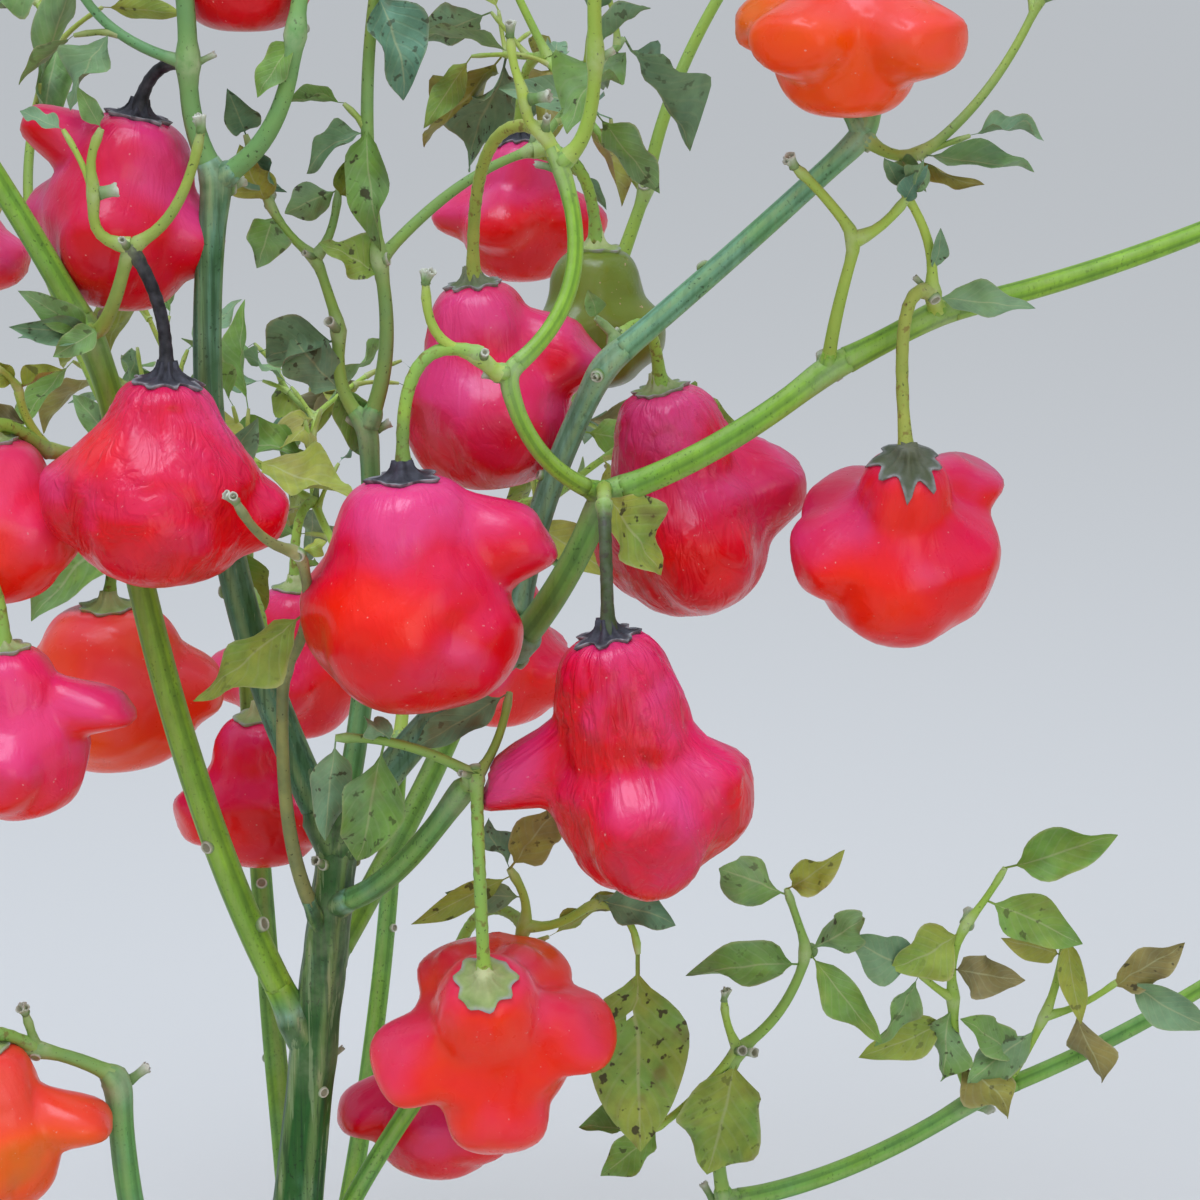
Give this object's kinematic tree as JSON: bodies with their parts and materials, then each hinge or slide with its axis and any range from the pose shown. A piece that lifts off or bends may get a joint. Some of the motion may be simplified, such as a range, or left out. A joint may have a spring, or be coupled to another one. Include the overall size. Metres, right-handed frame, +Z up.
{
  "type": "chilli pepper plant",
  "caption": "Chilli pepper plant rooted in the ground: a leaning green stem, forked boughs, and open sprays of small leaves with hanging lobed, bell-shaped red pods.",
  "frame": {"origin": "middle of the flat cut under the main stem, at ground level", "axes": "+Z straight up from the ground, +X to the right and +Y away from the viewer as the picture sees the plant"},
  "size_m": [0.7274, 0.6309, 0.7537],
  "materials": {
    "stem": "satin",
    "boughs": "satin",
    "sprays": "satin"
  },
  "bodies": {
    "root": {"back_left_bough": "boughs", "back_left_spray": "sprays", "back_low_bough": "boughs", "back_low_spray": "sprays", "back_right_bough": "boughs", "back_right_spray": "sprays", "centre_bough": "boughs", "centre_left_spray": "sprays", "centre_right_spray": "sprays", "far_left_bough": "boughs", "far_left_spray": "sprays", "front_left_bough": "boughs", "front_left_spray": "sprays", "front_right_bough": "boughs", "front_right_spray": "sprays", "front_twig_spray": "sprays", "hook_pod_spray": "sprays", "inner_bough": "boughs", "inner_pod_spray": "sprays", "left_bough": "boughs", "left_crown_spray": "sprays", "left_rise_bough": "boughs", "left_side_spray": "sprays", "left_twig_spray": "sprays", "link_bough": "boughs", "long_right_bough": "boughs", "long_right_bough_end": "boughs", "long_right_bough_mid": "boughs", "long_right_end_spray": "sprays", "long_right_pod_spray": "sprays", "long_right_twig_spray": "sprays", "low_left_bough": "boughs", "low_left_spray": "sprays", "low_left_stem": "boughs", "low_middle_bough": "boughs", "low_middle_spray": "sprays", "low_right_bough": "boughs", "low_right_bough_end": "boughs", "low_right_bough_mid": "boughs", "low_right_end_spray": "sprays", "low_right_leafy_spray": "sprays", "low_right_small_spray": "sprays", "low_right_spray": "sprays", "main_stem": "stem", "middle_crown_spray": "sprays", "middle_pod_spray": "sprays", "outer_bough": "boughs", "right_bough": "boughs", "rise_bough": "boughs", "rise_pod_spray": "sprays", "rise_top_spray": "sprays", "side_bough": "boughs", "side_pod_spray": "sprays", "upper_right_bough": "boughs", "upper_right_bough_end": "boughs", "upper_right_pod_spray": "sprays", "upper_right_thin_spray": "sprays", "upper_right_top_spray": "sprays"}
  },
  "joints": []
}
